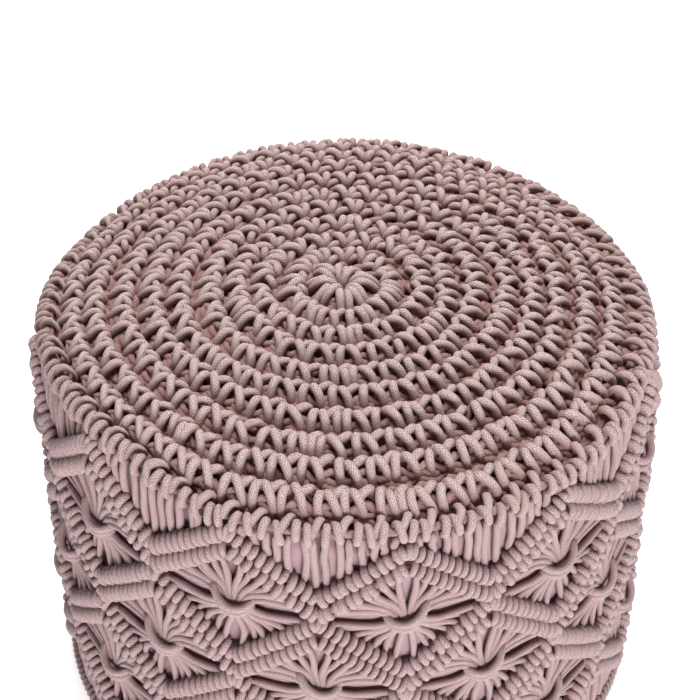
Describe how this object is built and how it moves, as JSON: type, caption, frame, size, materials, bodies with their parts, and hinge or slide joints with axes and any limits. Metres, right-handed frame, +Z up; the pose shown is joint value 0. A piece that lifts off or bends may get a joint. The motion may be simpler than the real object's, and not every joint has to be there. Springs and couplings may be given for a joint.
{
  "type": "footstool",
  "caption": "Round footstool: a crocheted cotton top on a filled cushion, with a knotted macrame side of zigzag bars, diamonds and gathering knots; for feet or low seating.",
  "frame": {"origin": "centre of the base, on the floor", "axes": "+Z up; -Y towards the viewer of the picture, +X to the viewer's right"},
  "size_m": [0.424, 0.424, 0.3166],
  "materials": {
    "cushion": "smooth woven cotton",
    "crochet_top": "soft braided cotton cord",
    "macrame_side": "soft braided cotton cord"
  },
  "bodies": {
    "root": {"cushion": "cushion", "crochet_top": "crochet_top", "macrame_side": "macrame_side"}
  },
  "joints": []
}
